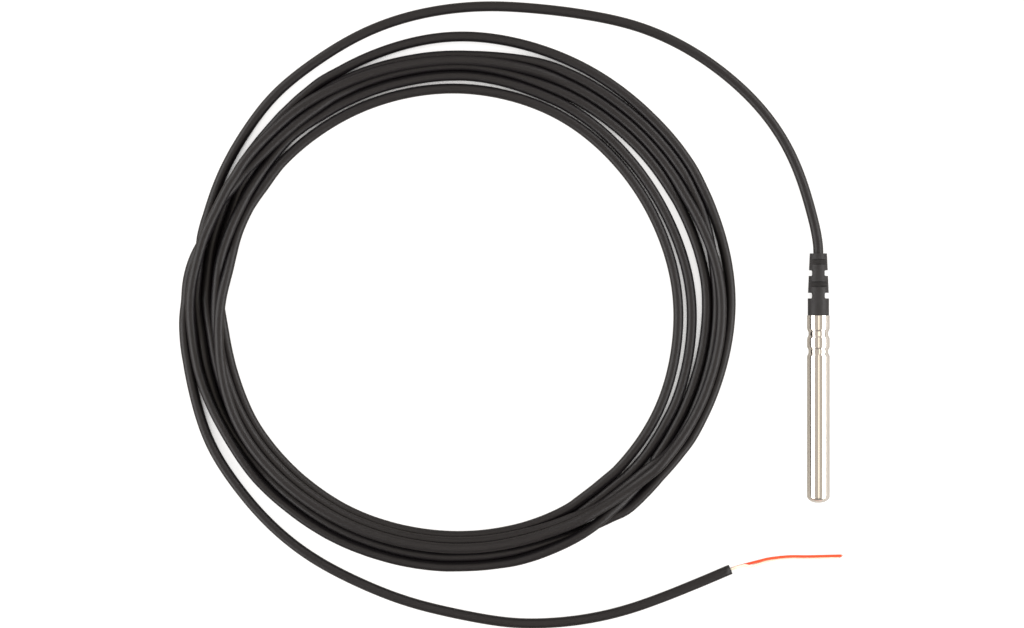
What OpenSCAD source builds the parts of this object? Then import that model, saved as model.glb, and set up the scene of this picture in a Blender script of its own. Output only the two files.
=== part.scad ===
// Cable probe: a closed metal sleeve with a sensing element in its tip, a
// slotted bend relief, and a thin two-core cable that ends in two bare cores.
// The probe lies along Y on the plane Z = 0, with its tip towards -Y.

/* [Sleeve] */
// Outer diameter of the sleeve
sleeve_d = 6; // [5:0.5:8]
// Length of the sleeve, mouth to tip
sleeve_len = 50; // [44:1:70]
// Wall of the sleeve
sleeve_wall = 0.3; // [0.25:0.05:0.4]
// Thickness of the closed end
tip_wall = 0.5; // [0.4:0.1:0.8]
// Height of the dome at the closed end
tip_dome = 1.8; // [1.4:0.1:2.2]
// Distance from the mouth to the first crimp
crimp_from_mouth = 4.9; // [4:0.1:5]
// Distance between the two crimps
crimp_pitch = 4.75; // [4:0.25:5.25]
// Half the width of a crimp groove
crimp_half_w = 1.4; // [0.8:0.1:1.5]
// Depth of a crimp groove
crimp_depth = 0.4; // [0.2:0.05:0.5]

/* [Bend relief] */
// Length of the bend relief outside the sleeve
boot_len = 16.5; // [15.5:0.5:20]
// Depth of the bend relief inside the sleeve
boot_spigot_len = 12; // [11.5:0.5:13]
// Diameter of the bend relief's collar, which stops against the sleeve's mouth
boot_collar_d = 5.65; // [5.5:0.05:5.65]
// Diameter of the bend relief at its free end
boot_top_d = 4.6; // [4:0.1:5]
// Length of the plain collar next to the sleeve
boot_collar_len = 4.5; // [4:0.1:4.5]
// Distance between neighbouring slots
slot_pitch = 3; // [2.8:0.1:3]
// Width of a slot
slot_w = 1.5; // [1.2:0.1:1.6]
// Thickness of the web left between two slots
slot_web = 3; // [2.9:0.1:3.2]

/* [Cable] */
// Outer diameter of the cable
cable_d = 2.7; // [2.4:0.1:2.8]
// Outer diameter of one insulated core
core_d = 0.7; // [0.6:0.05:0.8]
// Diameter of the strands in one core
conductor_d = 0.36; // [0.3:0.02:0.4]
// Inner radius of the coiled cable
coil_inner_r = 56; // [52:1:60]
// Outer radius of the coiled cable
coil_outer_r = 73; // [70:1:73]
// Height of the coiled cable
coil_h = 8; // [6:0.5:10]

/* [Sensing element] */
// Width of the ceramic chip
chip_w = 2; // [1.2:0.1:2.4]
// Length of the ceramic chip
chip_len = 5; // [2.5:0.5:6]
// Thickness of the ceramic chip
chip_t = 0.65; // [0.4:0.05:0.9]
// Gap between the chip and the closed end
chip_gap = 1.5; // [1:0.5:3]

/* [Hidden] */
$fn = 64;

// Heights along Y, with the middle of sleeve and bend relief at 0
sleeve_r = sleeve_d / 2;
axis_z = sleeve_r;
probe_len = sleeve_len + boot_len;
tip_y = -probe_len / 2;
mouth_y = tip_y + sleeve_len;
boot_top_y = mouth_y + boot_len;
spigot_y = mouth_y - boot_spigot_len;
crimp_y = [mouth_y - crimp_from_mouth, mouth_y - crimp_from_mouth - crimp_pitch];
bore_r = sleeve_r - sleeve_wall;
bore_end_y = tip_y + tip_wall;

// The boot fills the bore, widens to its collar at the mouth and narrows above it
boot_r = bore_r;
boot_collar_r = boot_collar_d / 2;
boot_top_r = boot_top_d / 2;
collar_y = mouth_y + boot_collar_len;
edge_round = 0.2;
slot_first_y = collar_y + slot_w / 2;
slot_count = 4;
slot_corner = 0.35;

// Cable and cores
cable_r = cable_d / 2;
core_r = core_d / 2;
conductor_r = conductor_d / 2;
conductor_show = 0.3;
jacket_end_y = spigot_y - 1.5;

// The two cores run side by side in the sleeve, each with its own splice
wire_x = 0.75;
ferrule_r = 0.45;
ferrule_len = 3;
splice_tube_r = 0.65;
splice_tube_len = 7;
red_splice_y = jacket_end_y - 9;
white_splice_y = red_splice_y - splice_tube_len;

// Sensing element: the chip lies just under its two leads, which a bead holds down
element_lead_r = 0.12;
chip_y = bore_end_y + chip_gap;
chip_top_y = chip_y + chip_len;
chip_face_z = axis_z - element_lead_r;
lead_overlap = 1.2;
bead_len = 1.6;
bead_h = 0.6;
glaze_h = 0.2;
glaze_inset = 0.15;

// Insulating tube, and what fills the bore above and below it
liner_r = bore_r - 0.05;
liner_wall = 0.25;
liner_y = bore_end_y + 2;
liner_top_y = jacket_end_y - 3;
compound_top_y = chip_top_y + 3;

// Coil, as a ring round the middle of its turns
coil_x = -95.5;
coil_y = 20.5;
coil_top_round = 2.5;
coil_foot_round = 0.5;

// Swept tubes: sides of one ring, and rings to each span of the cable's route
tube_sides = 8;
cable_steps = 2;

// From the bend relief, down to the surface and over to the coil
lead_route = [
    [0, boot_top_y, axis_z], [-0.2, 37, 2.9], [-0.9, 41, 2.5], [-2.1, 45.5, 1.9],
    [-3.6, 51, 1.5], [-5.8, 57, cable_r], [-9.3, 64, cable_r], [-15.5, 72.5, cable_r],
    [-24.5, 81, cable_r], [-35.5, 88.5, cable_r], [-48, 94, cable_r], [-61.5, 97, cable_r],
    [-75, 98.7, cable_r], [-89, 99.4, cable_r], [-103, 98, cable_r], [-116.5, 94.3, cable_r],
    [-129, 88, cable_r], [-143.7, 77.2, cable_r]
];

// From the coil round the outside of it to the stripped end
tail_route = [
    [-169.8, 16.5, cable_r], [-169, 7.5, cable_r], [-166.5, -5, cable_r], [-162.5, -17.5, cable_r],
    [-155.5, -28.5, cable_r], [-146.5, -39, cable_r], [-136, -47.5, cable_r],
    [-124, -54, cable_r], [-110.5, -59.5, cable_r], [-96.5, -63, cable_r],
    [-82, -65.5, cable_r], [-71.5, -65.5, cable_r], [-62, -64.5, cable_r],
    [-52, -62.3, cable_r], [-42.5, -59, cable_r], [-32.5, -55, cable_r], [-23.3, -51.1, cable_r]
];

// The two cores past the jacket: the white one crosses over, then lies under the red
red_route = [
    [-23.3, -51.1, 0.95], [-21.2, -50.4, 0.75], [-19, -49.8, 0.75], [-16, -49, 0.9],
    [-12.5, -48.2, 0.95], [-7.5, -47.7, 0.95], [-2.5, -47.7, 0.95], [6.4, -47.5, 0.95]
];
white_route = [
    [-23.3, -51.1, 1.75], [-21.2, -50.4, 1.6], [-19.6, -50.05, 1.5], [-18.4, -50.25, 1.25],
    [-17.2, -50.2, 0.8], [-16, -49.8, 0.55], [-12.5, -48.7, core_r], [-7.5, -48.1, core_r],
    [-2.5, -48.1, core_r], [5.8, -47.95, core_r]
];

// Smooth curve through a route's own points, never lower than its tube's radius r
function at(list, i) = list[min(max(i, 0), len(list) - 1)];
function curve_point(p, i, t) =
    let (a = at(p, i - 1), b = at(p, i), c = at(p, i + 1), d = at(p, i + 2))
    0.5 * (2 * b + (c - a) * t + (2 * a - 5 * b + 4 * c - d) * t * t
        + (3 * b - a - 3 * c + d) * t * t * t);
function curve(p, steps, r) = [
    for (i = [0 : len(p) - 2], k = [0 : i == len(p) - 2 ? steps : steps - 1])
        let (c = curve_point(p, i, k / steps)) [c[0], c[1], max(c[2], r)]
];

// One ring of a tube, square to the direction of the line there
function unit(v) = v / norm(v);
function ring(p, i, r) =
    let (t = unit(at(p, i + 1) - at(p, i - 1)), u = unit(cross([0, 0, 1], t)), v = cross(t, u))
    [for (j = [0 : tube_sides - 1])
        p[i] + r * (cos(360 * j / tube_sides) * u + sin(360 * j / tube_sides) * v)];

// Radius that a crimp takes off the sleeve at height y
function groove(y, c) =
    abs(y - c) >= crimp_half_w ? 0 : crimp_depth * (1 + cos(180 * (y - c) / crimp_half_w)) / 2;
function squeeze(y) = groove(y, crimp_y[0]) + groove(y, crimp_y[1]);
function crimp_points(r) = [
    for (c = crimp_y, k = [-6 : 6])
        let (y = c - k * crimp_half_w / 6) [r - squeeze(y), y]
];

// Quarter of an ellipse of height h, from the side of radius r almost to its pole at height y
function dome(r, y, h) = [for (a = [0 : 9 : 81]) [r * cos(a), y + h * (1 - sin(a))]];
function reversed(list) = [for (i = [len(list) - 1 : -1 : 0]) list[i]];

module on_axis(x = 0, y = 0) {
    translate([x, y, axis_z]) rotate([-90, 0, 0]) children();
}

module turned(points) {
    on_axis() rotate_extrude() polygon(points);
}

module rod(r, y0, y1, x = 0) {
    on_axis(x, y0) cylinder(r = r, h = y1 - y0);
}

module pipe(r, hole_r, y0, y1, x = 0) {
    on_axis(x, y0) difference() {
        cylinder(r = r, h = y1 - y0);
        translate([0, 0, -1]) cylinder(r = hole_r, h = y1 - y0 + 2);
    }
}

module tube(route, r, steps) {
    line = curve(route, steps, r);
    rings = len(line);
    n = tube_sides;
    polyhedron(
        points = [for (i = [0 : rings - 1]) each ring(line, i, r)],
        faces = concat(
            [[for (j = [0 : n - 1]) j]],
            [for (i = [0 : rings - 2], j = [0 : n - 1])
                [i * n + j, (i + 1) * n + j, (i + 1) * n + (j + 1) % n, i * n + (j + 1) % n]],
            [[for (j = [n - 1 : -1 : 0]) (rings - 1) * n + j]]));
}

module sensor_sleeve() {
    color([0.78, 0.77, 0.75])
    turned(concat(
        [[sleeve_r, mouth_y]], crimp_points(sleeve_r), dome(sleeve_r, tip_y, tip_dome),
        [[0, tip_y], [0, bore_end_y]],
        reversed(dome(bore_r, bore_end_y, tip_dome - sleeve_wall)),
        reversed(crimp_points(bore_r)), [[bore_r, mouth_y]]));
}

// Two cuts from opposite sides, with small rounds where they meet the web
module slot(y, turn) {
    depth = boot_r;
    on_axis(0, y) rotate([0, 0, turn]) for (side = [0, 180]) rotate([0, 0, side]) {
        translate([slot_web / 2 + slot_corner, -boot_r - 1, -slot_w / 2])
            cube([depth, 2 * boot_r + 2, slot_w]);
        translate([slot_web / 2, -boot_r - 1, -slot_w / 2 + slot_corner])
            cube([depth, 2 * boot_r + 2, slot_w - 2 * slot_corner]);
        for (z = [-1, 1])
            translate([slot_web / 2 + slot_corner, boot_r + 1, z * (slot_w / 2 - slot_corner)])
            rotate([90, 0, 0]) cylinder(r = slot_corner, h = 2 * boot_r + 2, $fn = 24);
    }
}

module strain_relief_boot() {
    color([0.1, 0.1, 0.11])
    difference() {
        turned(concat(
            [[cable_r, spigot_y], [boot_r, spigot_y]], reversed(crimp_points(boot_r)),
            [[boot_r, mouth_y], [boot_collar_r, mouth_y], [boot_collar_r, collar_y],
             [boot_top_r, boot_top_y - edge_round], [boot_top_r - edge_round, boot_top_y],
             [cable_r, boot_top_y]]));
        for (i = [0 : slot_count - 1])
            slot(slot_first_y + i * slot_pitch, i % 2 == 0 ? 0 : 90);
    }
}

module jacket_in_boot() {
    color([0.13, 0.13, 0.14]) rod(cable_r, jacket_end_y, boot_top_y);
}

// The jacket is solid here, so the cores and their strands start at its end face
module core_inside(x, splice_y) {
    pipe(core_r, conductor_r, splice_y + ferrule_len / 2 + 0.5, jacket_end_y, x);
}

module red_core_inside() { color([0.95, 0.27, 0.12]) core_inside(-wire_x, red_splice_y); }

module white_core_inside() { color([0.9, 0.87, 0.78]) core_inside(wire_x, white_splice_y); }

module conductor_inside(x, splice_y) {
    color([0.85, 0.6, 0.4]) rod(conductor_r, splice_y, jacket_end_y, x);
}

module red_conductor_inside() { conductor_inside(-wire_x, red_splice_y); }

module white_conductor_inside() { conductor_inside(wire_x, white_splice_y); }

// Crimped ferrule: the core's strands end in its upper half, the element's lead in the lower
module ferrule(x, y) {
    color([0.75, 0.7, 0.6]) difference() {
        rod(ferrule_r, y - ferrule_len / 2, y + ferrule_len / 2, x);
        rod(conductor_r, y, y + ferrule_len, x);
        rod(element_lead_r, y - ferrule_len, y, x);
    }
}

module red_splice_ferrule() { ferrule(-wire_x, red_splice_y); }

module white_splice_ferrule() { ferrule(wire_x, white_splice_y); }

module splice_tube(x, y) {
    color([0.92, 0.92, 0.9])
    pipe(splice_tube_r, ferrule_r, y - splice_tube_len / 2, y + splice_tube_len / 2, x);
}

module red_splice_tube() { splice_tube(-wire_x, red_splice_y); }

module white_splice_tube() { splice_tube(wire_x, white_splice_y); }

module element_lead(x, splice_y) {
    color([0.8, 0.8, 0.78]) rod(element_lead_r, chip_top_y - lead_overlap, splice_y, x);
}

module element_lead_red() { element_lead(-wire_x, red_splice_y); }

module element_lead_white() { element_lead(wire_x, white_splice_y); }

module sensing_chip() {
    color([0.93, 0.93, 0.9])
    translate([-chip_w / 2, chip_y, chip_face_z - chip_t]) cube([chip_w, chip_len, chip_t]);
}

// Glass layer over the metal film on the chip's face
module chip_glaze() {
    color([0.35, 0.45, 0.6])
    translate([-chip_w / 2 + glaze_inset, chip_y + glaze_inset, chip_face_z])
        cube([chip_w - 2 * glaze_inset, chip_len - bead_len - 2 * glaze_inset, glaze_h]);
}

// Domed glass bead across the chip where the leads are bonded
module lead_bond_bead() {
    dome_r = (bead_len * bead_len / 4 + bead_h * bead_h) / (2 * bead_h);
    color([0.75, 0.8, 0.8]) difference() {
        intersection() {
            translate([-chip_w / 2, chip_top_y - bead_len, chip_face_z])
                cube([chip_w, bead_len, bead_h]);
            translate([-chip_w, chip_top_y - bead_len / 2, chip_face_z + bead_h - dome_r])
                rotate([0, 90, 0]) cylinder(r = dome_r, h = 2 * chip_w);
        }
        for (side = [-1, 1])
            rod(element_lead_r, chip_top_y - lead_overlap, chip_top_y + 1, side * wire_x);
    }
}

module insulating_tube() {
    color([0.85, 0.6, 0.2]) pipe(liner_r, liner_r - liner_wall, liner_y, liner_top_y);
}

// Heat-carrying filling: the whole bore at the tip, and the liner's bore round the chip
module tip_compound() {
    liner_bore_r = liner_r - liner_wall;
    color([0.85, 0.85, 0.85]) difference() {
        turned(concat(
            [[liner_bore_r, compound_top_y], [liner_bore_r, liner_y], [bore_r, liner_y]],
            dome(bore_r, bore_end_y, tip_dome - sleeve_wall),
            [[0, bore_end_y], [0, compound_top_y]]));
        sensing_chip();
        chip_glaze();
        lead_bond_bead();
        for (side = [-1, 1])
            rod(element_lead_r, chip_top_y - lead_overlap, compound_top_y + 1, side * wire_x);
    }
}

// Resin that seals the bore below the bend relief and holds the cable's end
module potting_plug() {
    color([0.16, 0.15, 0.14]) difference() {
        rod(bore_r, liner_top_y, spigot_y);
        rod(cable_r, jacket_end_y, spigot_y + 1);
        for (side = [-1, 1]) rod(core_r, liner_top_y - 1, jacket_end_y, side * wire_x);
    }
}

module cable_lead() {
    color([0.13, 0.13, 0.14]) tube(lead_route, cable_r, cable_steps);
}

// Outer shape of the coiled turns, wider rounds on top where the turns heap up
module cable_coil() {
    inner = coil_inner_r;
    outer = coil_outer_r;
    foot = coil_foot_round;
    top = coil_top_round;
    color([0.13, 0.13, 0.14])
    translate([coil_x, coil_y, 0]) rotate_extrude() polygon(concat(
        [for (a = [180 : 30 : 270]) [inner + foot * (1 + cos(a)), foot * (1 + sin(a))]],
        [for (a = [270 : 30 : 360]) [outer - foot * (1 - cos(a)), foot * (1 + sin(a))]],
        [for (a = [0 : 15 : 90]) [outer - top * (1 - cos(a)), coil_h - top * (1 - sin(a))]],
        [for (a = [90 : 15 : 180]) [inner + top * (1 + cos(a)), coil_h - top * (1 - sin(a))]]));
}

module cable_tail() {
    color([0.13, 0.13, 0.14]) tube(tail_route, cable_r, cable_steps);
}

module red_core_end() { color([0.98, 0.3, 0.12]) tube(red_route, core_r, 1); }

module white_core_end() { color([0.92, 0.88, 0.78]) tube(white_route, core_r, 1); }

// Strands that just show past the cut end of a core
module conductor_end(route) {
    last = at(route, len(route) - 1);
    before = at(route, len(route) - 2);
    color([0.85, 0.6, 0.4])
    translate(last) rotate([0, 90, atan2(last[1] - before[1], last[0] - before[0])])
        cylinder(r = conductor_r, h = conductor_show);
}

module red_conductor_end() { conductor_end(red_route); }

module white_conductor_end() { conductor_end(white_route); }

sensor_sleeve();
strain_relief_boot();
jacket_in_boot();
red_core_inside();
white_core_inside();
red_conductor_inside();
white_conductor_inside();
red_splice_ferrule();
white_splice_ferrule();
red_splice_tube();
white_splice_tube();
element_lead_red();
element_lead_white();
sensing_chip();
chip_glaze();
lead_bond_bead();
insulating_tube();
tip_compound();
potting_plug();
cable_lead();
cable_coil();
cable_tail();
red_core_end();
white_core_end();
red_conductor_end();
white_conductor_end();
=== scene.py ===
import math
import bpy
import numpy as np
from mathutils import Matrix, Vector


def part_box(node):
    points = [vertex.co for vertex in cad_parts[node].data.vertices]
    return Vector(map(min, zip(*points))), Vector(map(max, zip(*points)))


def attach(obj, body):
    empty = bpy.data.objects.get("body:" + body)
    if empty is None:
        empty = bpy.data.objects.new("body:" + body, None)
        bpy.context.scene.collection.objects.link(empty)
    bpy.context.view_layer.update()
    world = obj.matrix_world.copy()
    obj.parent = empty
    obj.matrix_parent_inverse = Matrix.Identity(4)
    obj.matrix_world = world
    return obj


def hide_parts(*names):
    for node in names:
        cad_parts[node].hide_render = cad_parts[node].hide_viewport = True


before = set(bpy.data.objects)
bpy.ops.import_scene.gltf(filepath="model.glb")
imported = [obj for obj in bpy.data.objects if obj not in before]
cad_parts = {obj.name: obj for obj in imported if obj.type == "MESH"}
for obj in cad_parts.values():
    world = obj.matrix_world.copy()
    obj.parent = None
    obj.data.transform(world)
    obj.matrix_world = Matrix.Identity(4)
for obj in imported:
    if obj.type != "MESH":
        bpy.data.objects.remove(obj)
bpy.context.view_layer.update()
mm = 0.001
print("frame loaded:", len(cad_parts), "nodes")

sleeveLow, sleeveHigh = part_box("sensor_sleeve")
bootLow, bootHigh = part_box("strain_relief_boot")
jacketLow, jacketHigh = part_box("jacket_in_boot")
axisHeight = (sleeveLow.z + sleeveHigh.z) / 2
sleeveRadius = (sleeveHigh.z - sleeveLow.z) / 2
cableRadius = (jacketHigh.z - jacketLow.z) / 2


# A mesh from whole arrays: points, four-sided and three-sided faces, and a UV pair for each face corner
def addPiece(name, points, quads, triangles, cornerUvs=None):
    mesh = bpy.data.meshes.new(name)
    corners = np.concatenate([quads.ravel(), triangles.ravel()]).astype(np.int32)
    sizes = np.concatenate([np.full(len(quads), 4), np.full(len(triangles), 3)])
    mesh.vertices.add(len(points))
    mesh.vertices.foreach_set("co", points.astype(np.float32).ravel())
    mesh.loops.add(len(corners))
    mesh.loops.foreach_set("vertex_index", corners)
    mesh.polygons.add(len(sizes))
    mesh.polygons.foreach_set("loop_start", (np.cumsum(sizes) - sizes).astype(np.int32))
    mesh.polygons.foreach_set("use_smooth", np.ones(len(sizes), bool))
    if cornerUvs is not None:
        mesh.uv_layers.new(name="along").data.foreach_set("uv", cornerUvs.astype(np.float32).ravel())
    mesh.update(calc_edges=True)
    piece = bpy.data.objects.new(name, mesh)
    bpy.context.scene.collection.objects.link(piece)
    return piece


# Grid of rings by columns that closes round its columns and at a pole past each end ring.
# Corner (i, j) has number i * columns + j, and the two poles are the last two points.
def ringFaces(rings, columns):
    i, j = np.meshgrid(np.arange(rings - 1), np.arange(columns), indexing="ij")
    nextJ = (j + 1) % columns
    quads = np.stack([i * columns + j, i * columns + nextJ,
                      (i + 1) * columns + nextJ, (i + 1) * columns + j], axis=-1).reshape(-1, 4)
    j = np.arange(columns)
    nextJ = (j + 1) % columns
    last = (rings - 1) * columns
    firstPole = np.full(columns, rings * columns)
    triangles = np.concatenate([np.stack([firstPole, nextJ, j], axis=-1),
                                np.stack([firstPole + 1, last + j, last + nextJ], axis=-1)])
    return quads, triangles


# UV for the same faces: u goes once round, v is the value given for each ring
def ringUvs(rings, columns, ringV):
    i, j = np.meshgrid(np.arange(rings - 1), np.arange(columns), indexing="ij")
    u = (j[..., None] + np.array([0, 1, 1, 0])) / columns
    v = ringV[i[..., None] + np.array([0, 0, 1, 1])]
    j = np.arange(columns)
    firstU = (j[:, None] + np.array([0.5, 1, 0])) / columns
    lastU = (j[:, None] + np.array([0.5, 0, 1])) / columns
    parts = [np.stack([u, v], axis=-1),
             np.stack([firstU, np.full_like(firstU, ringV[0])], axis=-1),
             np.stack([lastU, np.full_like(lastU, ringV[-1])], axis=-1)]
    return np.concatenate([part.reshape(-1, 2) for part in parts])


# Tube round a line: ring i lies square to the line at centres[i] with radius radii[i]. Its side
# vector is up crossed with the line's direction, and its rise vector is that direction crossed with
# the side vector.
def addTube(name, centres, radii, directions, columns):
    side = np.cross([0.0, 0.0, 1.0], directions)
    side /= np.linalg.norm(side, axis=1, keepdims=True)
    rise = np.cross(directions, side)
    turn = 2 * np.pi * np.arange(columns) / columns - np.pi / 2
    points = (centres[:, None] + radii[:, None, None]
              * (np.cos(turn)[None, :, None] * side[:, None] + np.sin(turn)[None, :, None] * rise[:, None]))
    steps = np.linalg.norm(np.diff(centres, axis=0), axis=1)
    along = np.concatenate([[0], np.cumsum(steps)])
    quads, triangles = ringFaces(len(centres), columns)
    points = np.concatenate([points.reshape(-1, 3), centres[:1], centres[-1:]])
    return addPiece(name, points, quads, triangles, ringUvs(len(centres), columns, along))


# Smooth curve through all the points (a cubic through each four neighbours), then cut into even steps
def smoothLine(points, step):
    points = np.asarray(points, float)
    padded = np.concatenate([2 * points[:1] - points[1:2], points, 2 * points[-1:] - points[-2:-1]])
    finePerSpan = 60
    place = np.linspace(0, len(points) - 1, finePerSpan * (len(points) - 1) + 1)[:-1]
    i = place.astype(int)
    t = (place - i)[:, None]
    a, b, c, d = padded[i], padded[i + 1], padded[i + 2], padded[i + 3]
    fine = 0.5 * (2 * b + (c - a) * t + (2 * a - 5 * b + 4 * c - d) * t**2 + (3 * b - a - 3 * c + d) * t**3)
    fine = np.concatenate([fine, points[-1:]])
    place = np.append(place, len(points) - 1)
    along = np.concatenate([[0], np.cumsum(np.linalg.norm(np.diff(fine, axis=0), axis=1))])
    even = np.linspace(0, along[-1], int(round(along[-1] / step)) + 1)
    line = np.stack([np.interp(even, along, fine[:, k]) for k in range(3)], axis=1)
    return line, np.interp(even, along, place)


def directionsOf(line):
    directions = np.gradient(line, axis=0)
    return directions / np.linalg.norm(directions, axis=1, keepdims=True)


# Running mean with a bell-shaped weight, the ends held
def blurred(values, width):
    reach = int(3 * width)
    weights = np.exp(-0.5 * (np.arange(-reach, reach + 1) / width) ** 2)
    weights /= weights.sum()
    padded = np.pad(values, ((reach, reach), (0, 0)), mode="edge")
    smoothed = [np.convolve(padded[:, k], weights, mode="valid") for k in range(values.shape[1])]
    return np.stack(smoothed, axis=1)


# Looks straight down. The sensor is in millimetres, the rest in metres.
camera = {"height": 900 * mm, "viewWidth": 273.07 * mm, "middle": (-81.7 * mm, 17.1 * mm), "sensor": 36,
          "nearest": 0.01}


def addCamera():
    data = bpy.data.cameras.new("topCamera")
    data.sensor_width = camera["sensor"]
    data.lens = data.sensor_width * camera["height"] / camera["viewWidth"]
    data.clip_start = camera["nearest"]
    seen = bpy.data.objects.new("topCamera", data)
    seen.location = (*camera["middle"], camera["height"] + axisHeight)
    bpy.context.scene.collection.objects.link(seen)
    bpy.context.scene.camera = seen


addCamera()

# Millimetres. The cable runs from inside the bend relief along the lead, joins the coil for six turns
# and leaves it along the tail. cutEnd lists (distance past the end, share of the radius).
cable = {
    "step": 1.5, "columns": 20, "startInset": 0.5, "insideBoot": 8, "softenWidth": 3, "heldPoints": 3,
    "cutEnd": ((0, 0.92), (-0.04, 0.66), (-0.35, 0.62)),
    "lead": [
        (0, 33.25, 3), (-0.2, 37, 2.9), (-0.9, 41, 2.5), (-2.1, 45.5, 1.9),
        (-3.6, 51, 1.5), (-5.8, 57, 1.35), (-9.3, 64, 1.35), (-15.5, 72.5, 1.35),
        (-24.5, 81, 1.35), (-35.5, 88.5, 1.35), (-48, 94, 1.35), (-61.5, 97, 1.35),
        (-75, 98.7, 1.35), (-89, 99.4, 1.35), (-103, 98, 1.35), (-116.5, 94.3, 1.35),
        (-129, 88, 1.35), (-143.7, 77.2, 1.35),
    ],
    "join": [(-152, 67, 1.35), (-158.5, 56, 1.35), (-162.6, 45, 1.35), (-165.3, 33, 1.35)],
    "leave": [(-163.3, 38.5, 1.35), (-167.9, 25, 1.35)],
    "tail": [
        (-168.9, 16.5, 1.35), (-168.8, 7.5, 1.35), (-166.5, -5, 1.35), (-162.5, -17.5, 1.35),
        (-155.5, -28.5, 1.35), (-146.5, -39, 1.35), (-136, -47.5, 1.35),
        (-124, -54, 1.35), (-110.5, -59.5, 1.35), (-96.5, -63, 1.35),
        (-82, -65.5, 1.35), (-71.5, -65.5, 1.35), (-62, -64.5, 1.35),
        (-52, -62.3, 1.35), (-42.5, -59, 1.35), (-32.5, -55, 1.35), (-23.3, -51.1, 1.35),
    ],
}

# Radius of each turn at every twelfth, from the left round by the bottom, the right and the top.
# restOrder says which turn lies on which, and orderChanges gives (turn, first twelfth, end, order).
coil = {
    "middle": (-96.7, 20.5),
    "radii": [
        (69.6, 68.8, 68.3, 68.1, 70.1, 72.7, 73.5, 72.3, 71.2, 70.8, 68.7, 66.9),
        (66.8, 66.4, 65.7, 65.7, 65.9, 65.1, 63.0, 60.3, 60.0, 60.6, 61.8, 63.3),
        (63.5, 65.6, 64.9, 64.5, 66.0, 69.7, 69.8, 69.5, 67.5, 65.2, 64.8, 64.9),
        (63.7, 63.2, 63.1, 63.1, 63.1, 61.7, 59.4, 57.3, 57.0, 56.9, 57.9, 60.4),
        (62.9, 66.4, 65.7, 65.5, 66.7, 70.5, 70.8, 67.6, 65.5, 64.4, 65.5, 67.1),
        (70.9, 70.2, 70.5, 70.2, 70.5, 68.1, 67.4, 64.6, 63.1, 63.3, 64.4, 66.3),
    ],
    "restOrder": (0, 1, 4, 2, 5, 3),
    "orderChanges": [(2, 0, 2, 3), (2, 8, 12, 0.5), (3, 11, 12, 4), (5, 0, 2, 5), (5, 9, 12, 4.5)],
    "tailOrder": 4.5,
    "slack": 0.1, "lift": 1.0, "sag": 0.03, "draw": 0.08, "straighten": 0.3, "relax": 0.9,
    "settleSteps": 320, "stillSteps": 40, "pairSteps": 15, "nearReach": 1.5, "touchAlong": 0.6,
    "liftBlur": 5, "bendBlur": 2,
}


# Pairs of points on different stretches of one line that lie near each other
def nearPairs(line, reach):
    flat = line[:, 0] + 1j * line[:, 1]
    near = np.abs(flat[:, None] - flat[None]) < reach
    first, second = np.nonzero(near)
    apart = np.abs(first - second) > 2 * reach / cable["step"]
    return first[apart], second[apart]


# Heaps the line. Every step it sags, straightens, is drawn back to its place in plan, and wherever
# two stretches are nearer than a diameter, measured square to the second one, both are pushed apart
# by half of what is missing.
def settled(line, order, diameter):
    aim = line.copy()
    held = aim[:, 2] > diameter / 2 + 0.01  # the stretch in the bend relief and down to the floor
    line = line.copy()
    line[:, 2] += np.where(held, 0, coil["lift"] * blurred(order[:, None], coil["liftBlur"])[:, 0])
    for step in range(coil["settleSteps"]):
        if step % coil["pairSteps"] == 0:
            first, second = nearPairs(line, coil["nearReach"] * diameter)
        if step < coil["settleSteps"] - coil["stillSteps"]:
            line[:, 2] -= coil["sag"]
            line[:, :2] += coil["draw"] * (aim[:, :2] - line[:, :2])
            strayed = line - aim * [1, 1, 0]
            line += coil["straighten"] * (blurred(strayed, coil["bendBlur"]) - strayed)
        directions = directionsOf(line)
        across = line[first] - line[second]
        along = (across * directions[second]).sum(axis=1)
        across -= along[:, None] * directions[second]
        distance = np.linalg.norm(across, axis=1)
        touching = (np.abs(along) < coil["touchAlong"] * cable["step"]) & (distance < diameter)
        push = (diameter / np.maximum(distance, 0.01) - 1)[:, None] * across * touching[:, None]
        moved, count = np.zeros_like(line), np.full(len(line), 1e-9)
        for end, sign in ((first, 1), (second, -1)):
            np.add.at(moved, end, sign * 0.5 * push)
            np.add.at(count, end, touching)
        line += coil["relax"] * moved / np.maximum(count, 1)[:, None]
        line[:, 2] = np.where(held, aim[:, 2], np.maximum(line[:, 2], diameter / 2))
    return line


def cableLine():
    turns = np.array(coil["radii"])
    twelfths = turns.shape[1]
    angles = np.radians(180 + 360 / twelfths * np.arange(turns.size))
    radii = turns.ravel() + coil["slack"]
    turned = np.stack([coil["middle"][0] + radii * np.cos(angles),
                       coil["middle"][1] + radii * np.sin(angles),
                       np.full(turns.size, cableRadius / mm)], axis=1)
    turnOrder = np.repeat(np.array(coil["restOrder"], float), twelfths)
    for turn, begin, end, order in coil["orderChanges"]:
        turnOrder[twelfths * turn + begin:twelfths * turn + end] = order
    inBoot = [(0, y, axisHeight / mm) for y in (
        jacketLow.y / mm + cable["startInset"], bootLow.y / mm + cable["insideBoot"],
        bootHigh.y / mm - cable["insideBoot"])]
    before = inBoot + cable["lead"] + cable["join"]
    after = cable["leave"] + cable["tail"]
    points = np.concatenate([before, turned, after])
    order = np.concatenate([np.zeros(len(before)), turnOrder, np.full(len(after), coil["tailOrder"])])
    line, place = smoothLine(points, cable["step"])
    order = order[np.round(place).astype(int)]
    smooth = blurred(line, cable["softenWidth"])
    held = cable["heldPoints"]
    free = np.clip((place - held) / held, 0, 1) * np.clip((place[-1] - place) / held, 0, 1)
    line = line * (1 - free[:, None]) + smooth * free[:, None]
    return settled(line, order, 2 * cableRadius / mm) * mm


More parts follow.
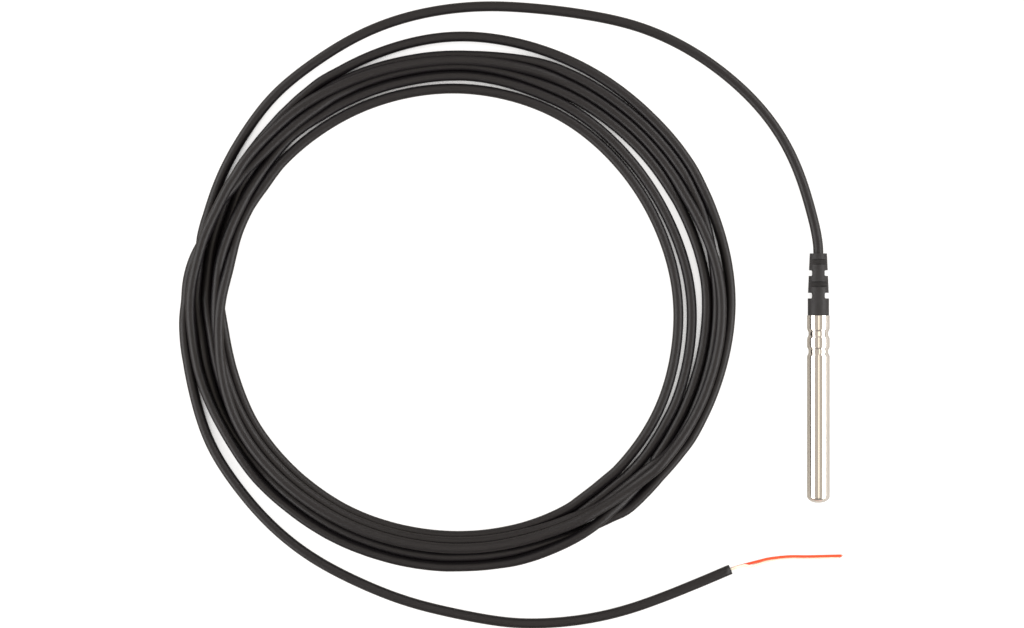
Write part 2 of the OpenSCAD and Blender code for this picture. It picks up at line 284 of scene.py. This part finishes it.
def addCable():
    line = cableLine()
    directions = directionsOf(line)
    length = np.linalg.norm(np.diff(line, axis=0), axis=1).sum()
    # the cut end turns in over the jacket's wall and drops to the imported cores
    recess = np.array(cable["cutEnd"])
    centres = np.concatenate([line, line[-1] + recess[:, :1] * mm * directions[-1]])
    radii = np.concatenate([np.full(len(line), cableRadius), recess[:, 1] * cableRadius])
    directions = np.concatenate([directions, np.repeat(directions[-1:], len(recess), axis=0)])
    piece = addTube("cable", centres, radii, directions, cable["columns"])
    highest = line[:, 2].max() + cableRadius
    print("cable:", round(length, 3), "m, highest", round(highest / mm, 2), "mm")
    return piece, line, length


cablePiece, cablePath, cableLength = addCable()

# Stripped cores, millimetres: the white one comes out on top, then lies under the red
cores = {
    "radius": 0.35, "step": 0.3, "columns": 16, "backIntoJacket": (-0.276, -0.114, 0),
    "cutEnd": ((0, 0.55), (-0.08, 0.5)),
    "red": [
        (-23.3, -51.1, 0.95), (-21.2, -50.4, 0.75), (-19, -49.8, 0.75), (-16, -49, 0.9),
        (-12.5, -48.2, 0.95), (-7.5, -47.7, 0.95), (-2.5, -47.7, 0.95), (6.4, -47.5, 0.95),
    ],
    "white": [
        (-23.3, -51.1, 1.75), (-21.2, -50.4, 1.6), (-19.6, -50.05, 1.5), (-18.4, -50.25, 1.25),
        (-17.2, -50.2, 0.8), (-16, -49.8, 0.55), (-12.5, -48.7, 0.35), (-7.5, -48.1, 0.35),
        (-2.5, -48.1, 0.35), (5.8, -47.95, 0.35),
    ],
}


def addCore(name, route, node):
    route = np.array(route)
    back = route[:1] + np.array([cores["backIntoJacket"]])
    line = smoothLine(np.concatenate([back, route]), cores["step"])[0] * mm
    line[:, 2] = np.maximum(line[:, 2], cores["radius"] * mm)
    directions = directionsOf(line)
    # the cut face is flat with a small dimple round the strands
    dimple = np.array(cores["cutEnd"])
    centres = np.concatenate([line, line[-1] + dimple[:, :1] * mm * directions[-1]])
    radii = np.concatenate([np.full(len(line), cores["radius"] * mm), dimple[:, 1] * cores["radius"] * mm])
    directions = np.concatenate([directions, np.repeat(directions[-1:], len(dimple), axis=0)])
    piece = addTube(name, centres, radii, directions, cores["columns"])
    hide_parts(node)
    return piece


redCore = addCore("redCore", cores["red"], "red_core_end")
whiteCore = addCore("whiteCore", cores["white"], "white_core_end")

# Millimetres, measured down the sleeve from its mouth
sleeve = {
    "wall": 0.3, "tipWall": 0.5, "tipDome": 1.8, "mouthRound": 0.08,
    "crimps": (4.9, 9.65), "crimpHalfWidth": 1.4, "crimpFlat": 0.2, "crimpDepth": 0.36,
    "lobes": 8, "lobeDepth": 0.03, "lobeStart": 0.7, "lobeShift": 0.5,
    "columns": 144, "plainRings": 40, "crimpedRings": 130, "domeRings": 24, "rimRings": 7,
}


# How deep a crimp is, from 0 beside it to 1 along its flat bottom, with raised-cosine slopes
def crimpGroove(offset):
    slope = np.clip((1 - np.abs(offset) / sleeve["crimpHalfWidth"]) / (1 - sleeve["crimpFlat"]), 0, 1)
    return 0.5 - 0.5 * np.cos(np.pi * slope)


# Radius and height of each profile point, with a quarter ellipse for the tip, and how far each point
# of its ring is pressed in: the groove plus a cosine of eight times the angle round the sleeve.
def sleeveGrid():
    length = (sleeveHigh.y - sleeveLow.y) / mm
    radius = sleeveRadius / mm
    wall = sleeve["wall"]
    quarter = np.linspace(0, np.pi / 2, sleeve["domeRings"])
    dome = sleeve["tipDome"]
    rim = np.linspace(0, np.pi, sleeve["rimRings"])
    mouth = sleeve["mouthRound"]
    crimped = length - sleeve["crimps"][-1] - 2 * sleeve["crimpHalfWidth"]
    rise = np.linspace(crimped, length - mouth, sleeve["crimpedRings"])
    up = np.concatenate([np.linspace(dome, crimped, sleeve["plainRings"])[:-1], rise])
    down = np.concatenate([rise[::-2], [sleeve["tipWall"] + dome - wall]])
    rimMiddle = radius - wall / 2
    profile = np.concatenate([
        np.stack([radius * np.sin(quarter), dome - dome * np.cos(quarter)], axis=1)[1:],
        np.stack([np.full(len(up), radius), up], axis=1)[1:],
        np.stack([rimMiddle + wall / 2 * np.cos(rim), length - mouth + mouth * np.sin(rim)], axis=1)[1:],
        np.stack([np.full(len(down), radius - wall), down], axis=1)[1:],
        np.stack([(radius - wall) * np.cos(quarter),
                  sleeve["tipWall"] + (dome - wall) * (1 - np.sin(quarter))], axis=1)[1:-1],
    ])
    angle = 2 * np.pi * np.arange(sleeve["columns"]) / sleeve["columns"]
    depth = np.zeros((len(profile), sleeve["columns"]))
    for number, place in enumerate(sleeve["crimps"]):
        groove = crimpGroove(length - place - profile[:, 1])[:, None]
        lobes = np.cos(sleeve["lobes"] * angle + sleeve["lobeStart"] + sleeve["lobeShift"] * number)[None]
        depth += groove * (sleeve["crimpDepth"] + sleeve["lobeDepth"] * lobes * groove)
    return profile, depth, angle


def addSleeve():
    profile, depth, angle = sleeveGrid()
    radius = (profile[:, :1] - depth) * mm
    height = sleeveLow.y + np.repeat(profile[:, 1:] * mm, len(angle), axis=1)
    points = np.stack([radius * np.sin(angle), height, axisHeight + radius * np.cos(angle)], axis=-1)
    rings, columns = depth.shape
    quads, triangles = ringFaces(rings, columns)
    poles = np.array([[0, sleeveLow.y, axisHeight], [0, sleeveLow.y + sleeve["tipWall"] * mm, axisHeight]])
    ends = np.concatenate([points.reshape(-1, 3), poles])
    ringV = np.concatenate([[0], np.cumsum(np.linalg.norm(np.diff(profile, axis=0), axis=1))]) * mm
    piece = addPiece("polishedSleeve", ends, quads, triangles, ringUvs(rings, columns, ringV))
    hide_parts("sensor_sleeve")
    return piece


sleevePiece = addSleeve()
print("sleeve done")

# Millimetres, measured up the bend relief from the sleeve's mouth. spigotShort is how far the wall
# of the spigot stops short of its lower end and of the mouth.
boot = {
    "collar": 4.5, "collarRadius": 2.825, "topRadius": 2.3, "slotWidth": 1.5, "slotPitch": 3.0, "web": 3.0,
    "slotCorner": 0.35, "edgeRound": 0.14, "shoulderRound": 0.12, "fillet": 0.04, "shoulderGap": 0.01,
    "spigotPlay": 0.02, "spigotShort": (0.01, 0.1), "cutReach": 4.5, "cutHalfDepth": 4.0,
    "columns": 96, "spigotRings": 48, "arcRings": 6, "taperRings": 12, "boreRings": 30, "cornerPoints": 7,
}


# Outline of the bend relief as radius and height: spigot, shoulder with a quarter circle at its foot
# and at its edge, collar, tapering grip, top face and bore
def addBootBody(mouth):
    spigotRadius = sleeveRadius / mm - sleeve["wall"] - boot["spigotPlay"]
    collarRadius = boot["collarRadius"]
    bore = cableRadius / mm
    top = bootHigh.y / mm
    steps = np.linspace(0, 1, boot["spigotRings"])[:, None]
    shortBelow, shortAbove = boot["spigotShort"]
    spigotLength = mouth - bootLow.y / mm - shortBelow - shortAbove
    offsets = shortAbove + spigotLength * (1 - steps)
    squeeze = sum(crimpGroove(offsets - place) for place in sleeve["crimps"])
    squeezed = spigotRadius - squeeze * (sleeve["crimpDepth"] + sleeve["lobeDepth"])
    spigot = np.concatenate([squeezed, mouth - offsets], axis=1)
    arc = np.linspace(0, np.pi / 2, boot["arcRings"])[:, None]
    fillet, edge = boot["fillet"], boot["shoulderRound"]
    seat = mouth + boot["shoulderGap"]
    foot = np.concatenate([spigotRadius + fillet * (1 - np.cos(arc)),
                           seat - fillet * (1 - np.sin(arc))], axis=1)
    shoulder = np.concatenate([collarRadius - edge * (1 - np.sin(arc)),
                               seat + edge * (1 - np.cos(arc))], axis=1)
    taper = np.linspace(0, 1, boot["taperRings"])[1:, None]
    grip = np.concatenate([collarRadius + (boot["topRadius"] - collarRadius) * taper,
                           mouth + boot["collar"] + (top - mouth - boot["collar"]) * taper], axis=1)
    inner = np.linspace(top, bootLow.y / mm, boot["boreRings"])[:, None]
    profile = np.concatenate([spigot, foot, shoulder, [[collarRadius, mouth + boot["collar"]]], grip,
                              np.concatenate([np.full_like(inner, bore), inner], axis=1)])
    angle = 2 * np.pi * np.arange(boot["columns"]) / boot["columns"]
    radius = profile[:, :1] * mm
    height = np.repeat(profile[:, 1:] * mm, len(angle), axis=1)
    points = np.stack([radius * np.sin(angle), height, axisHeight + radius * np.cos(angle)], axis=-1)
    rings, columns = height.shape
    i, j = np.meshgrid(np.arange(rings), np.arange(columns), indexing="ij")
    nextI, nextJ = (i + 1) % rings, (j + 1) % columns
    quads = np.stack([i * columns + j, i * columns + nextJ,
                      nextI * columns + nextJ, nextI * columns + j], axis=-1).reshape(-1, 4)
    return addPiece("bendRelief", points.reshape(-1, 3), quads, np.zeros((0, 3), int))


# Block with two rounded long edges on its inner side, to cut one half of a slot
def addSlotCutter(height, turn):
    corner = boot["slotCorner"]
    half = boot["slotWidth"] / 2
    quarter = np.linspace(0, np.pi / 2, boot["cornerPoints"])
    low = np.stack([boot["web"] / 2 + corner * (1 - np.cos(quarter)),
                    -half + corner * (1 - np.sin(quarter))], axis=1)
    reach, depth = boot["cutReach"], boot["cutHalfDepth"]
    outline = np.concatenate([[[reach, half]], low[::-1] * [1, -1], low, [[reach, -half]]])
    count = len(outline)
    flat = np.stack([outline[:, 0], outline[:, 1], np.full(count, -depth)], axis=1)
    lifted = flat + [0, 0, 2 * depth]
    points = np.concatenate([flat, lifted])
    across = points[:, 0] * math.cos(turn) - points[:, 2] * math.sin(turn)
    rise = points[:, 0] * math.sin(turn) + points[:, 2] * math.cos(turn)
    placed = np.stack([across * mm, (points[:, 1] + height) * mm, rise * mm + axisHeight], axis=1)
    mesh = bpy.data.meshes.new("slotCutter")
    sides = [(k, (k + 1) % count, count + (k + 1) % count, count + k) for k in range(count)]
    ends = [tuple(range(count))[::-1], tuple(range(count, 2 * count))]
    mesh.from_pydata(placed.tolist(), [], sides + ends)
    cutter = bpy.data.objects.new("slotCutter", mesh)
    bpy.context.scene.collection.objects.link(cutter)
    return cutter


def applyModifiers(piece):
    bpy.context.view_layer.update()
    evaluated = piece.evaluated_get(bpy.context.evaluated_depsgraph_get())
    finished = bpy.data.meshes.new_from_object(evaluated)
    piece.modifiers.clear()
    piece.data = finished


def addBoot():
    mouth = sleeveHigh.y / mm
    piece = addBootBody(mouth)
    first = mouth + boot["collar"] + boot["slotWidth"] / 2
    cutters = [addSlotCutter(first + k * boot["slotPitch"], (k % 2 + side * 2) * math.pi / 2)
               for k in range(4) for side in range(2)]
    for cutter in cutters:
        cut = piece.modifiers.new("slot", "BOOLEAN")
        cut.operation = "DIFFERENCE"
        cut.solver = "EXACT"
        cut.object = cutter
    applyModifiers(piece)
    for cutter in cutters:
        bpy.data.objects.remove(cutter)
    bevel = piece.modifiers.new("softEdges", "BEVEL")
    bevel.width = boot["edgeRound"] * mm
    bevel.segments = 3
    bevel.limit_method = "ANGLE"
    bevel.angle_limit = math.radians(40)
    applyModifiers(piece)
    piece.data.polygons.foreach_set("use_smooth", np.ones(len(piece.data.polygons), bool))
    piece.data.set_sharp_from_angle(angle=math.radians(50))
    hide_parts("strain_relief_boot")
    return piece


bootPiece = addBoot()
print("bend relief done:", len(bootPiece.data.polygons), "faces")


# Node helpers. A link joins an output to an input by their names.
def newMaterial(name):
    material = bpy.data.materials.new(name)
    material.use_nodes = True
    nodes = material.node_tree.nodes
    shader = nodes["Principled BSDF"]
    return material, nodes, material.node_tree.links, shader


# Shared by every finish. lightDepth is how far red, green and blue light go into a plastic, in metres.
surface = {"patchDetail": 4, "grainDetail": 3, "patchRange": (0.3, 0.7),
           "lightDepth": (0.0006, 0.0004, 0.0003)}


# Group that turns one vector into mottled colour, uneven roughness and fine bumps
def finishGroup():
    group = bpy.data.node_groups.new("surfaceFinish", "ShaderNodeTree")
    for name, kind, value in (
            ("Vector", "NodeSocketVector", None),
            ("Colour", "NodeSocketColor", (0.5, 0.5, 0.5, 1)),
            ("Second colour", "NodeSocketColor", (0.5, 0.5, 0.5, 1)),
            ("Patch scale", "NodeSocketFloat", 100.0),
            ("Grain scale", "NodeSocketFloat", 1000.0),
            ("Low roughness", "NodeSocketFloat", 0.3),
            ("High roughness", "NodeSocketFloat", 0.5)):
        socket = group.interface.new_socket(name, in_out="INPUT", socket_type=kind)
        if value is not None:
            socket.default_value = value
    for name, kind in (("Colour", "NodeSocketColor"), ("Roughness", "NodeSocketFloat"),
                       ("Height", "NodeSocketFloat")):
        group.interface.new_socket(name, in_out="OUTPUT", socket_type=kind)
    nodes, links = group.nodes, group.links
    given, result = nodes.new("NodeGroupInput"), nodes.new("NodeGroupOutput")
    patch, grain = nodes.new("ShaderNodeTexNoise"), nodes.new("ShaderNodeTexNoise")
    patch.inputs["Detail"].default_value = surface["patchDetail"]
    grain.inputs["Detail"].default_value = surface["grainDetail"]
    mix, rough = nodes.new("ShaderNodeMix"), nodes.new("ShaderNodeMapRange")
    mix.data_type = "RGBA"
    for texture, scale in ((patch, "Patch scale"), (grain, "Grain scale")):
        links.new(given.outputs["Vector"], texture.inputs["Vector"])
        links.new(given.outputs[scale], texture.inputs["Scale"])
    links.new(patch.outputs["Fac"], mix.inputs["Factor"])
    links.new(given.outputs["Colour"], mix.inputs["A"])
    links.new(given.outputs["Second colour"], mix.inputs["B"])
    links.new(patch.outputs["Fac"], rough.inputs["Value"])
    rough.inputs["From Min"].default_value, rough.inputs["From Max"].default_value = surface["patchRange"]
    links.new(given.outputs["Low roughness"], rough.inputs["To Min"])
    links.new(given.outputs["High roughness"], rough.inputs["To Max"])
    links.new(mix.outputs["Result"], result.inputs["Colour"])
    links.new(rough.outputs["Result"], result.inputs["Roughness"])
    links.new(grain.outputs["Fac"], result.inputs["Height"])
    return group


surfaceFinish = finishGroup()


# One material from its dictionary: colours, grain, roughness, and how deep its bumps are in metres
def finishedMaterial(name, look):
    material, nodes, links, shader = newMaterial(name)
    place = nodes.new("ShaderNodeTexCoord")
    mapping = nodes.new("ShaderNodeMapping")
    mapping.inputs["Scale"].default_value = look.get("stretch", (1, 1, 1))
    finish = nodes.new("ShaderNodeGroup")
    finish.node_tree = surfaceFinish
    bump = nodes.new("ShaderNodeBump")
    bump.inputs["Distance"].default_value = look["bump"]
    bump.inputs["Strength"].default_value = 1.0
    links.new(place.outputs["UV" if look.get("uv") else "Object"], mapping.inputs["Vector"])
    links.new(mapping.outputs["Vector"], finish.inputs["Vector"])
    finish.inputs["Colour"].default_value = (*look["colour"], 1)
    finish.inputs["Second colour"].default_value = (*look["second"], 1)
    finish.inputs["Patch scale"].default_value = look["patchScale"]
    finish.inputs["Grain scale"].default_value = look["grainScale"]
    finish.inputs["Low roughness"].default_value = look["roughness"][0]
    finish.inputs["High roughness"].default_value = look["roughness"][1]
    links.new(finish.outputs["Colour"], shader.inputs["Base Color"])
    links.new(finish.outputs["Roughness"], shader.inputs["Roughness"])
    links.new(finish.outputs["Height"], bump.inputs["Height"])
    links.new(bump.outputs["Normal"], shader.inputs["Normal"])
    shader.inputs["Metallic"].default_value = look.get("metallic", 0)
    shader.inputs["Specular IOR Level"].default_value = look.get("specular", 0.5)
    shader.inputs["Subsurface Weight"].default_value = look.get("subsurface", 0)
    shader.inputs["Subsurface Radius"].default_value = surface["lightDepth"]
    return material


looks = {
    "jacketPlastic": {"colour": (0.006, 0.0052, 0.0062), "second": (0.011, 0.0098, 0.0112),
                      "patchScale": 60, "grainScale": 420, "roughness": (0.32, 0.42), "bump": 0.00002,
                      "uv": True, "specular": 0.34},
    "bootRubber": {"colour": (0.011, 0.0105, 0.0115), "second": (0.020, 0.019, 0.0205), "patchScale": 350,
                   "grainScale": 3500, "roughness": (0.48, 0.62), "bump": 0.00003,
                   "specular": 0.35},
    "polishedSteel": {"colour": (0.80, 0.77, 0.73), "second": (0.74, 0.71, 0.67), "patchScale": 90,
                      "grainScale": 900, "roughness": (0.07, 0.12), "bump": 0.0000015, "metallic": 1,
                      "stretch": (1, 0.08, 1)},
    "redInsulation": {"colour": (0.95, 0.09, 0.02), "second": (0.80, 0.06, 0.015), "patchScale": 300,
                      "grainScale": 4000, "roughness": (0.25, 0.35), "bump": 0.000005, "subsurface": 0.1},
    "whiteInsulation": {"colour": (0.86, 0.80, 0.66), "second": (0.80, 0.74, 0.60), "patchScale": 300,
                        "grainScale": 4000, "roughness": (0.25, 0.35), "bump": 0.000005, "subsurface": 0.1},
    "copperStrands": {"colour": (0.90, 0.55, 0.36), "second": (0.80, 0.46, 0.28), "patchScale": 900,
                      "grainScale": 9000, "roughness": (0.25, 0.4), "bump": 0.00001, "metallic": 1},
    "tinnedMetal": {"colour": (0.72, 0.70, 0.66), "second": (0.62, 0.60, 0.56), "patchScale": 700,
                    "grainScale": 6000, "roughness": (0.3, 0.45), "bump": 0.000008, "metallic": 1},
    "shrunkTube": {"colour": (0.86, 0.86, 0.84), "second": (0.80, 0.80, 0.78), "patchScale": 500,
                   "grainScale": 3000, "roughness": (0.35, 0.5), "bump": 0.00001, "subsurface": 0.15},
    "firedCeramic": {"colour": (0.88, 0.87, 0.83), "second": (0.82, 0.81, 0.77), "patchScale": 900,
                     "grainScale": 9000, "roughness": (0.4, 0.6), "bump": 0.000008},
    "darkGlaze": {"colour": (0.10, 0.16, 0.26), "second": (0.07, 0.12, 0.20), "patchScale": 800,
                  "grainScale": 4000, "roughness": (0.08, 0.15), "bump": 0.000003},
    "amberFilm": {"colour": (0.62, 0.32, 0.05), "second": (0.50, 0.24, 0.03), "patchScale": 300,
                  "grainScale": 2500, "roughness": (0.18, 0.28), "bump": 0.000004},
    "heatPaste": {"colour": (0.76, 0.76, 0.75), "second": (0.68, 0.68, 0.67), "patchScale": 500,
                  "grainScale": 3500, "roughness": (0.5, 0.7), "bump": 0.00003},
    "castResin": {"colour": (0.04, 0.035, 0.035), "second": (0.06, 0.055, 0.05), "patchScale": 400,
                  "grainScale": 2500, "roughness": (0.2, 0.35), "bump": 0.00001},
}
materials = {name: finishedMaterial(name, look) for name, look in looks.items()}
print("materials done:", len(materials))


def finishPiece(piece, material):
    piece.data.materials.clear()
    piece.data.materials.append(materials[material])
    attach(piece, "root")


finishPiece(cablePiece, "jacketPlastic")
finishPiece(bootPiece, "bootRubber")
finishPiece(sleevePiece, "polishedSteel")
finishPiece(redCore, "redInsulation")
finishPiece(whiteCore, "whiteInsulation")

insideFinishes = {
    "red_core_inside": "redInsulation", "white_core_inside": "whiteInsulation",
    "red_conductor_inside": "copperStrands", "white_conductor_inside": "copperStrands",
    "red_conductor_end": "copperStrands", "white_conductor_end": "copperStrands",
    "red_splice_ferrule": "tinnedMetal", "white_splice_ferrule": "tinnedMetal",
    "red_splice_tube": "shrunkTube", "white_splice_tube": "shrunkTube",
    "element_lead_red": "tinnedMetal", "element_lead_white": "tinnedMetal",
    "sensing_chip": "firedCeramic", "chip_glaze": "darkGlaze", "lead_bond_bead": "darkGlaze",
    "insulating_tube": "amberFilm", "tip_compound": "heatPaste", "potting_plug": "castResin",
}
for node, finish in insideFinishes.items():
    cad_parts[node].data.materials.clear()
    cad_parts[node].data.materials.append(materials[finish])

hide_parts("jacket_in_boot", "cable_lead", "cable_coil", "cable_tail")

# Metres. Two long soft boxes beside the object, a warm strip overhead, and a plain room round them
studio = {
    "boxDistance": 0.7, "boxHeight": (0.12, 0.78), "boxLength": 2.0, "boxRadiance": 3.6,
    "boxColour": (1, 0.99, 0.98),
    "stripWidth": 0.26, "stripLength": 3.4, "stripHeight": 1.25, "stripRadiance": 1.1,
    "stripColour": (1, 0.9, 0.72),
    "roomColour": (0.62, 0.56, 0.50), "roomStrength": 1.0, "dimEnd": (-0.85, -0.6), "dimStrength": 0.5,
    # the floor glows as painted light, and ambient occlusion puts painted shade on it in narrow gaps
    "floorSize": 6.0, "floorGlow": 0.8, "paintedShadeReach": 0.006, "paintedShadeRange": (0.12, 0.33), "paintedShadeSamples": 8,
    # the floor that light bounces off carries painted shade on the left and painted light on the right
    "paperSeen": (0.3, 0.3, 0.3), "paintedShadeLeft": (0.40, 0.385, 0.36), "paintedLightRight": (0.56, 0.55, 0.54),
    "paintedSideBlend": 0.01,
}


def addAreaLight(name, place, aim, width, length, radiance, colour):
    data = bpy.data.lights.new(name, "AREA")
    data.shape = "RECTANGLE"
    data.size, data.size_y = width, length
    data.energy = radiance * math.pi * width * length
    data.color = colour
    light = bpy.data.objects.new(name, data)
    facing = np.array(aim, float) - np.array(place, float)
    light.location = place
    light.rotation_euler = (0, -math.atan2(facing[0], -facing[2]), 0)
    bpy.context.scene.collection.objects.link(light)
    return light


def addStudio():
    low, high = studio["boxHeight"]
    middle = camera["middle"]
    for name, side in (("leftBox", -1), ("rightBox", 1)):
        place = (middle[0] + side * studio["boxDistance"], middle[1], (low + high) / 2)
        addAreaLight(name, place, (middle[0], middle[1], (low + high) / 2), high - low, studio["boxLength"],
                     studio["boxRadiance"], studio["boxColour"])
    addAreaLight("overheadStrip", (0, middle[1], studio["stripHeight"]), (0, middle[1], 0),
                 studio["stripWidth"], studio["stripLength"], studio["stripRadiance"],
                 studio["stripColour"])
    world = bpy.data.worlds.new("room")
    world.use_nodes = True
    nodes, links = world.node_tree.nodes, world.node_tree.links
    place, split = nodes.new("ShaderNodeTexCoord"), nodes.new("ShaderNodeSeparateXYZ")
    fade = nodes.new("ShaderNodeMapRange")
    fade.inputs["From Min"].default_value, fade.inputs["From Max"].default_value = studio["dimEnd"]
    fade.inputs["To Min"].default_value = studio["dimStrength"]
    fade.inputs["To Max"].default_value = studio["roomStrength"]
    links.new(place.outputs["Generated"], split.inputs["Vector"])
    links.new(split.outputs["Y"], fade.inputs["Value"])
    links.new(fade.outputs["Result"], nodes["Background"].inputs["Strength"])
    nodes["Background"].inputs["Color"].default_value = (*studio["roomColour"], 1)
    bpy.context.scene.world = world
    bpy.context.scene.view_settings.view_transform = "Standard"


# White floor. Seen directly it glows as painted light, and painted shade dims the glow where something
# close shuts it in;
# the glow lights nothing by it. Light that bounces off it meets a duller paper with painted shade on the
# left and painted light, a little lighter, on the right.
def addFloor():
    half = studio["floorSize"] / 2
    corners = np.array([[-half, -half, 0], [half, -half, 0], [half, half, 0], [-half, half, 0]])
    floor = addPiece("floor", corners, np.array([[0, 1, 2, 3]]), np.zeros((0, 3), int))
    material, nodes, links, shader = newMaterial("floorPaper")
    nodes.remove(shader)
    place, split, rise, paintedSideShade, path, shown, paper, glow, dull, mix, nearby, paintedGlowStrength = (
        nodes.new("ShaderNode" + kind) for kind in (
            "TexCoord", "SeparateXYZ", "MapRange", "Mix", "LightPath", "AddShader", "BsdfDiffuse",
            "Emission", "BsdfDiffuse", "MixShader", "AmbientOcclusion", "MapRange"))
    paintedSideShade.data_type = "RGBA"
    paper.inputs["Color"].default_value = (*studio["paperSeen"], 1)
    glow.inputs["Color"].default_value = (1, 1, 1, 1)
    # ambient occlusion sets the painted shade: the painted glow fades where cables close the floor in
    nearby.samples = studio["paintedShadeSamples"]
    nearby.inputs["Distance"].default_value = studio["paintedShadeReach"]
    paintedGlowStrength.inputs["From Min"].default_value, paintedGlowStrength.inputs["From Max"].default_value = studio["paintedShadeRange"]
    paintedGlowStrength.inputs["To Max"].default_value = studio["floorGlow"]
    links.new(nearby.outputs["AO"], paintedGlowStrength.inputs["Value"])
    links.new(paintedGlowStrength.outputs["Result"], glow.inputs["Strength"])
    # painted shade on the left and painted light on the right of the floor seen by bounced light, blended
    # across X
    paintedSideShade.inputs["A"].default_value = (*studio["paintedShadeLeft"], 1)
    paintedSideShade.inputs["B"].default_value = (*studio["paintedLightRight"], 1)
    rise.inputs["From Min"].default_value = -studio["paintedSideBlend"]
    rise.inputs["From Max"].default_value = studio["paintedSideBlend"]
    links.new(place.outputs["Object"], split.inputs["Vector"])
    links.new(split.outputs["X"], rise.inputs["Value"])
    links.new(rise.outputs["Result"], paintedSideShade.inputs["Factor"])
    links.new(paintedSideShade.outputs["Result"], dull.inputs["Color"])
    links.new(paper.outputs["BSDF"], shown.inputs[0])
    links.new(glow.outputs["Emission"], shown.inputs[1])
    links.new(path.outputs["Is Camera Ray"], mix.inputs["Fac"])
    links.new(dull.outputs["BSDF"], mix.inputs[1])
    links.new(shown.outputs["Shader"], mix.inputs[2])
    links.new(mix.outputs["Shader"], nodes["Material Output"].inputs["Surface"])
    floor.data.materials.append(material)


addStudio()
addFloor()
